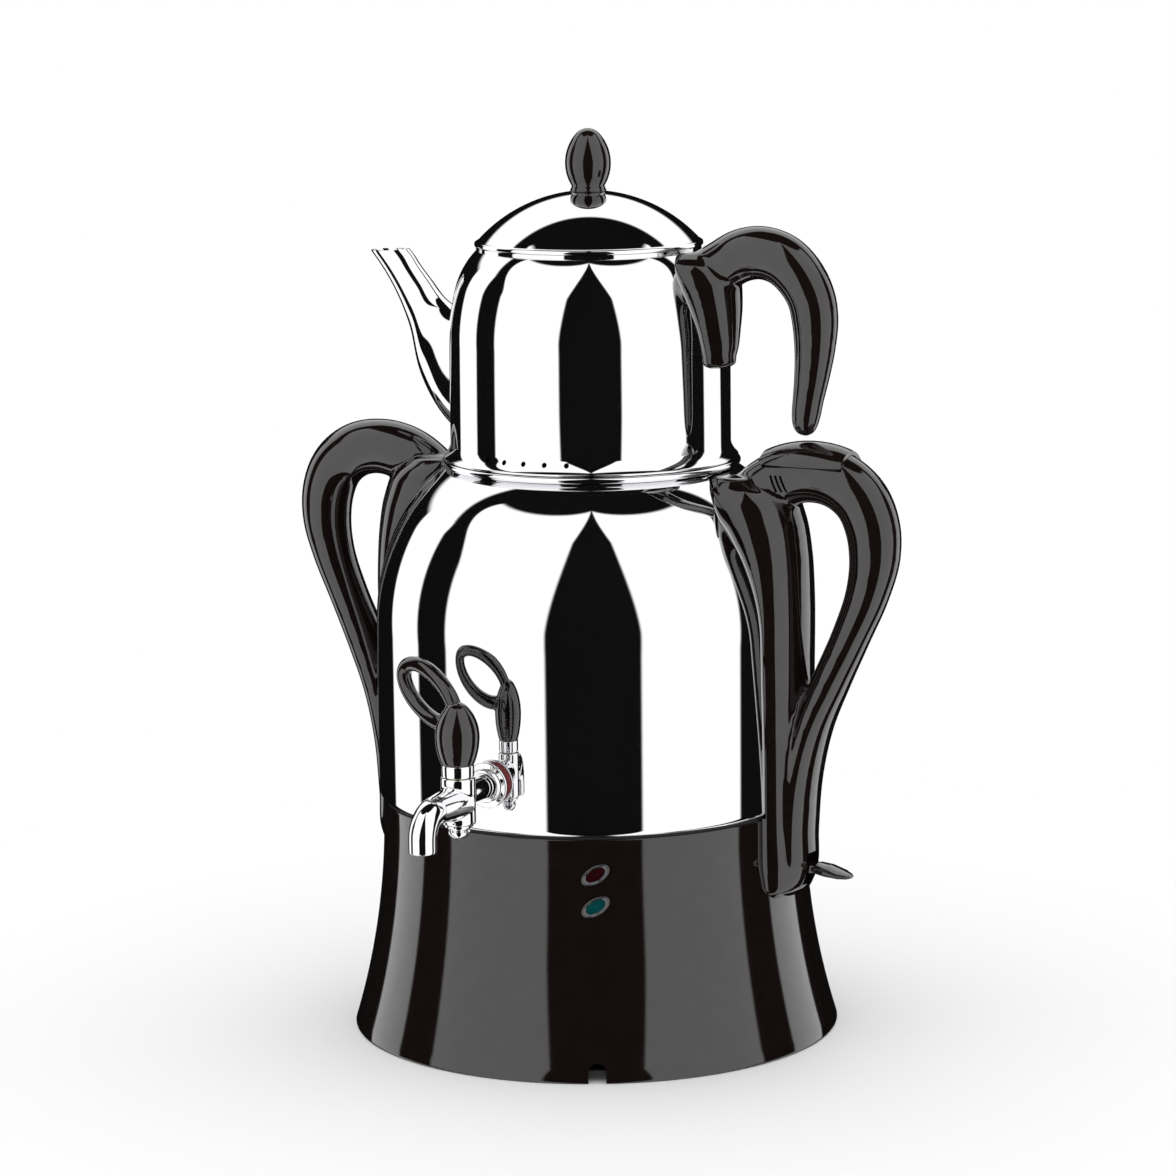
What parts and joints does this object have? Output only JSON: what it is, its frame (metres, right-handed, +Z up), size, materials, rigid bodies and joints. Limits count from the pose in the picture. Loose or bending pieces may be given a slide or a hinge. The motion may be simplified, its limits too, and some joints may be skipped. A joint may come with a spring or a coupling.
{
  "type": "electric samovar with teapot",
  "caption": "Electric samovar: mirror steel boiler on a flared black base, two loop handles, a plug tap with a ring lever and a lidded teapot seated on top.",
  "frame": {"origin": "on the axis of the boiler at the bottom edge of the base", "axes": "+Z up, the tap points to -Y, the handle with the switch is at +X and the teapot's spout points to -X"},
  "size_m": [0.3082, 0.2814, 0.4167],
  "materials": {
    "mirror_steel": "polished to a mirror",
    "tap_chrome": "polished chrome plate",
    "gloss_black": "high gloss black moulding",
    "lamp_clear": "clear bevelled rim",
    "lamp_red": "dark red lens",
    "lamp_green": "teal green lens",
    "seal_black": "matt black rubber",
    "seal_red": "red silicone",
    "plate_black": "textured black moulding",
    "zinc_steel": "zinc plated",
    "bright_aluminium": "as rolled",
    "board_green": "circuit board",
    "bakelite": "brown moulded bakelite",
    "brass": "turned brass"
  },
  "bodies": {
    "samovar": {"base_skirt": "gloss_black", "bottom_plate": "plate_black", "anti_slip_pads": "seal_black", "base_screws": "zinc_steel", "cord_gland": "plate_black", "red_lamp_lens": "lamp_red", "green_lamp_lens": "lamp_green", "lamp_rims": "lamp_clear", "lamp_board": "board_green", "boiler_shell": "mirror_steel", "boiler_floor": "mirror_steel", "seam_gasket": "seal_black", "neck_ring": "mirror_steel", "heat_diffuser": "bright_aluminium", "heating_element": "bright_aluminium", "thermostat": "bakelite", "thermal_fuse": "zinc_steel", "terminal_block": "bakelite", "right_handle": "gloss_black", "right_handle_studs": "zinc_steel", "left_handle": "gloss_black", "left_handle_studs": "zinc_steel", "right_handle_cap": "gloss_black", "switch_body": "plate_black", "switch_pin": "zinc_steel", "tap_body": "tap_chrome", "tap_gasket": "seal_red", "tap_flange": "tap_chrome", "tap_inner_gasket": "seal_red", "tap_lock_nut": "brass"},
    "switch": {"switch_lever": "gloss_black"},
    "tap_key": {"tap_plug": "brass", "tap_collar": "tap_chrome", "tap_lever": "gloss_black", "tap_washer": "tap_chrome", "tap_cap_nut": "tap_chrome"},
    "teapot": {"teapot_shell": "mirror_steel", "teapot_floor": "mirror_steel", "teapot_spout": "mirror_steel", "teapot_handle": "gloss_black", "teapot_handle_stud": "zinc_steel"},
    "lid": {"lid_dome": "mirror_steel", "lid_knob": "gloss_black", "lid_knob_screw": "zinc_steel"}
  },
  "joints": [
    {"name": "switch_hinge", "type": "hinge", "parent": "samovar", "child": "switch", "pos_m": [0.107, 0, 0.0835], "axis": [0, 1, 0], "range_deg": [0, 10]},
    {"name": "tap_turn", "type": "hinge", "parent": "samovar", "child": "tap_key", "pos_m": [0, -0.1286, 0.13], "axis": [0, 0, 1], "range_deg": [0, 90]},
    {"name": "teapot_lift", "type": "slide", "parent": "samovar", "child": "teapot", "axis": [0, 0, 1], "range_m": [0, 0.12]},
    {"name": "lid_lift", "type": "slide", "parent": "teapot", "child": "lid", "axis": [0, 0, 1], "range_m": [0, 0.06]}
  ]
}
